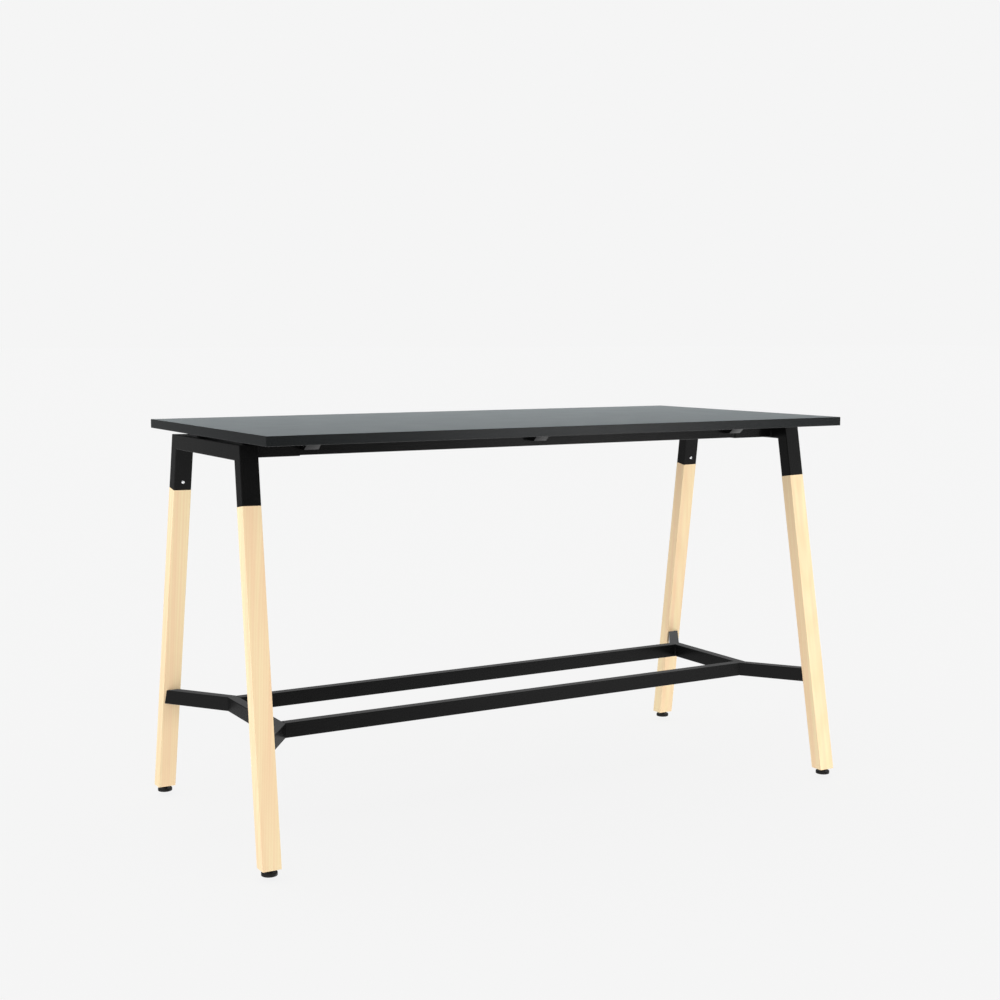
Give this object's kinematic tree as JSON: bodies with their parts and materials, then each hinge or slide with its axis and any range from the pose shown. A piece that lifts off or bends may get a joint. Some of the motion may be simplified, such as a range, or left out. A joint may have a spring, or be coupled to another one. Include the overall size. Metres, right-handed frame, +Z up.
{
  "type": "standing meeting table",
  "caption": "Standing-height rectangular meeting table: dark laminate top, black steel tube underframe and footrest frame, splayed pale wood legs, screw-in levelling feet.",
  "frame": {"origin": "on the floor, under the middle of the table", "axes": "+X along the table to the right, +Y to the rear, +Z up"},
  "size_m": [1.8396, 0.9, 1.085],
  "materials": {
    "face_laminate": "satin",
    "backing_laminate": "matt",
    "edge_band": "satin",
    "particleboard": "raw",
    "powder_coat": "satin",
    "leg_wood": "clear matt lacquer",
    "bright_zinc": "polished",
    "zinc_plated": "satin",
    "brass": "satin",
    "pad_plastic": "moulded matt",
    "stud_steel": "dark zinc"
  },
  "bodies": {
    "frame": {"bracket_rivet_nuts": "zinc_plated", "bracket_screws": "zinc_plated", "foot_inserts": "brass", "footrest_bolt_inserts": "brass", "footrest_bolts": "zinc_plated", "front_edge_band": "edge_band", "front_footrest_tube": "powder_coat", "front_left_footrest_arm": "powder_coat", "front_left_footrest_end_plate": "powder_coat", "front_left_leg": "leg_wood", "front_left_leg_socket": "powder_coat", "front_left_rail_sleeve": "powder_coat", "front_rail": "powder_coat", "front_right_footrest_arm": "powder_coat", "front_right_footrest_end_plate": "powder_coat", "front_right_leg": "leg_wood", "front_right_leg_socket": "powder_coat", "front_right_rail_sleeve": "powder_coat", "left_edge_band": "edge_band", "left_end_crossbar": "powder_coat", "left_footrest_crossbar": "powder_coat", "left_top_bracket": "powder_coat", "leg_bolt_inserts": "brass", "leg_bolts": "bright_zinc", "middle_top_bracket": "powder_coat", "rail_clamp_nuts": "zinc_plated", "rail_clamp_screws": "zinc_plated", "rear_edge_band": "edge_band", "rear_footrest_tube": "powder_coat", "rear_left_footrest_arm": "powder_coat", "rear_left_footrest_end_plate": "powder_coat", "rear_left_leg": "leg_wood", "rear_left_leg_socket": "powder_coat", "rear_left_rail_sleeve": "powder_coat", "rear_rail": "powder_coat", "rear_right_footrest_arm": "powder_coat", "rear_right_footrest_end_plate": "powder_coat", "rear_right_leg": "leg_wood", "rear_right_leg_socket": "powder_coat", "rear_right_rail_sleeve": "powder_coat", "right_edge_band": "edge_band", "right_end_crossbar": "powder_coat", "right_footrest_crossbar": "powder_coat", "right_top_bracket": "powder_coat", "tabletop_backing_laminate": "backing_laminate", "tabletop_core": "particleboard", "tabletop_face_laminate": "face_laminate", "top_fixing_screws": "zinc_plated"},
    "front_left_pad": {"front_left_foot_pad": "pad_plastic"},
    "front_left_stud": {"front_left_foot_stud": "stud_steel"},
    "front_right_pad": {"front_right_foot_pad": "pad_plastic"},
    "front_right_stud": {"front_right_foot_stud": "stud_steel"},
    "rear_left_pad": {"rear_left_foot_pad": "pad_plastic"},
    "rear_left_stud": {"rear_left_foot_stud": "stud_steel"},
    "rear_right_pad": {"rear_right_foot_pad": "pad_plastic"},
    "rear_right_stud": {"rear_right_foot_stud": "stud_steel"}
  },
  "joints": [
    {"name": "front_left_foot_height", "type": "slide", "parent": "frame", "child": "front_left_pad", "axis": [0, 0, -1], "range_m": [-0.0038, 0.0121]},
    {"name": "front_left_stud_turn", "type": "hinge", "parent": "front_left_pad", "child": "front_left_stud", "pos_m": [-0.89484, -0.41244, 0.01], "axis": [0, 0, -1], "range_deg": [-1080, 3456]},
    {"name": "front_right_foot_height", "type": "slide", "parent": "frame", "child": "front_right_pad", "axis": [0, 0, -1], "range_m": [-0.0038, 0.0121]},
    {"name": "front_right_stud_turn", "type": "hinge", "parent": "front_right_pad", "child": "front_right_stud", "pos_m": [0.89484, -0.41244, 0.01], "axis": [0, 0, -1], "range_deg": [-1080, 3456]},
    {"name": "rear_left_foot_height", "type": "slide", "parent": "frame", "child": "rear_left_pad", "axis": [0, 0, -1], "range_m": [-0.0038, 0.0121]},
    {"name": "rear_left_stud_turn", "type": "hinge", "parent": "rear_left_pad", "child": "rear_left_stud", "pos_m": [-0.89484, 0.41244, 0.01], "axis": [0, 0, -1], "range_deg": [-1080, 3456]},
    {"name": "rear_right_foot_height", "type": "slide", "parent": "frame", "child": "rear_right_pad", "axis": [0, 0, -1], "range_m": [-0.0038, 0.0121]},
    {"name": "rear_right_stud_turn", "type": "hinge", "parent": "rear_right_pad", "child": "rear_right_stud", "pos_m": [0.89484, 0.41244, 0.01], "axis": [0, 0, -1], "range_deg": [-1080, 3456]}
  ],
  "couplings": [
    {"joint": "front_left_foot_height", "follows": "front_left_stud_turn", "m_per_rad": 0.00019894},
    {"joint": "front_right_foot_height", "follows": "front_right_stud_turn", "m_per_rad": 0.00019894},
    {"joint": "rear_left_foot_height", "follows": "rear_left_stud_turn", "m_per_rad": 0.00019894},
    {"joint": "rear_right_foot_height", "follows": "rear_right_stud_turn", "m_per_rad": 0.00019894}
  ]
}
